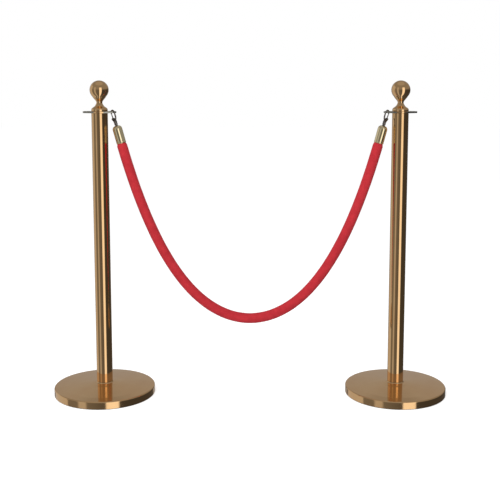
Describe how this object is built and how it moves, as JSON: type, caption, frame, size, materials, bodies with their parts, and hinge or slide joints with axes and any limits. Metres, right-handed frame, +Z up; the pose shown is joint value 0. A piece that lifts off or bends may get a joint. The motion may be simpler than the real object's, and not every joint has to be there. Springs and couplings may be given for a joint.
{
  "type": "rope stanchion pair",
  "caption": "Ball-top rope posts with weighted round bases, joined by a hanging velvet rope on snap hooks.",
  "frame": {"origin": "on the floor, midway between the two posts", "axes": "+X from the left post to the right post, +Y away from the viewer, +Z up"},
  "size_m": [1.254, 0.32, 1],
  "materials": {
    "polished_copper": "polished rose-gold plating",
    "dark_plate": "dark bronze plating, satin",
    "polished_gold": "polished gold plating",
    "gunmetal": "dark nickel plating",
    "zinc_steel": "zinc plated",
    "cast_iron": "rough cast, black",
    "black_rubber": "matte",
    "red_velvet": "velvet pile",
    "core_foam": "soft braided filler",
    "plug_wood": "turned, unfinished"
  },
  "bodies": {
    "posts": {"left_floor_ring": "black_rubber", "left_base_cover": "polished_copper", "left_base_weight": "cast_iron", "left_base_washer": "zinc_steel", "left_base_bolt": "zinc_steel", "left_foot_plug": "zinc_steel", "left_post_tube": "polished_copper", "left_top_plug": "zinc_steel", "left_ring_plate": "dark_plate", "right_floor_ring": "black_rubber", "right_base_cover": "polished_copper", "right_base_weight": "cast_iron", "right_base_washer": "zinc_steel", "right_base_bolt": "zinc_steel", "right_foot_plug": "zinc_steel", "right_post_tube": "polished_copper", "right_top_plug": "zinc_steel", "right_ring_plate": "dark_plate"},
    "rope": {"rope_core": "core_foam", "rope_cover": "red_velvet", "left_ferrule": "polished_gold", "left_ferrule_plug": "plug_wood", "left_swivel_stem": "gunmetal", "right_ferrule": "polished_gold", "right_ferrule_plug": "plug_wood", "right_swivel_stem": "gunmetal"},
    "left_hook": {"left_hook_body": "gunmetal", "left_gate_pin": "zinc_steel", "left_gate_spring": "zinc_steel"},
    "left_gate": {"left_gate": "gunmetal"},
    "left_finial_stud": {"left_finial_stud": "zinc_steel"},
    "left_finial": {"left_finial_ball": "polished_copper", "left_finial_skirt": "polished_copper"},
    "right_hook": {"right_hook_body": "gunmetal", "right_gate_pin": "zinc_steel", "right_gate_spring": "zinc_steel"},
    "right_gate": {"right_gate": "gunmetal"},
    "right_finial_stud": {"right_finial_stud": "zinc_steel"},
    "right_finial": {"right_finial_ball": "polished_copper", "right_finial_skirt": "polished_copper"}
  },
  "joints": [
    {"name": "rope_swing", "type": "hinge", "parent": "posts", "child": "rope", "pos_m": [0, -0.0105, 0.9045], "axis": [1, 0, 0], "range_deg": [-24, 24]},
    {"name": "left_hook_swivel", "type": "hinge", "parent": "rope", "child": "left_hook", "pos_m": [-0.4244, -0.0105, 0.9002], "axis": [-0.2588, 0, 0.9659], "range_deg": [-5, 5]},
    {"name": "left_gate_hinge", "type": "hinge", "parent": "left_hook", "child": "left_gate", "pos_m": [-0.42399, -0.00583, 0.88064], "axis": [0.683, 0.7071, 0.183], "range_deg": [0, 55], "stiffness_Nm_per_rad": 0.004, "springref_deg": -20.05},
    {"name": "left_finial_lift", "type": "slide", "parent": "posts", "child": "left_finial_stud", "axis": [0, 0, 1], "range_m": [0, 0.0188]},
    {"name": "left_finial_turn", "type": "hinge", "parent": "left_finial_stud", "child": "left_finial", "pos_m": [-0.467, 0, 0.97], "axis": [0, 0, 1], "range_deg": [0, 5400]},
    {"name": "right_hook_swivel", "type": "hinge", "parent": "rope", "child": "right_hook", "pos_m": [0.4244, -0.0105, 0.9002], "axis": [0.2588, 0, 0.9659], "range_deg": [-5, 5]},
    {"name": "right_gate_hinge", "type": "hinge", "parent": "right_hook", "child": "right_gate", "pos_m": [0.42399, -0.00583, 0.88064], "axis": [0.683, -0.7071, -0.183], "range_deg": [0, 55], "stiffness_Nm_per_rad": 0.004, "springref_deg": -20.05},
    {"name": "right_finial_lift", "type": "slide", "parent": "posts", "child": "right_finial_stud", "axis": [0, 0, 1], "range_m": [0, 0.0188]},
    {"name": "right_finial_turn", "type": "hinge", "parent": "right_finial_stud", "child": "right_finial", "pos_m": [0.467, 0, 0.97], "axis": [0, 0, 1], "range_deg": [0, 5400]}
  ],
  "couplings": [
    {"joint": "left_finial_lift", "follows": "left_finial_turn", "m_per_rad": 0.00019894},
    {"joint": "right_finial_lift", "follows": "right_finial_turn", "m_per_rad": 0.00019894}
  ]
}
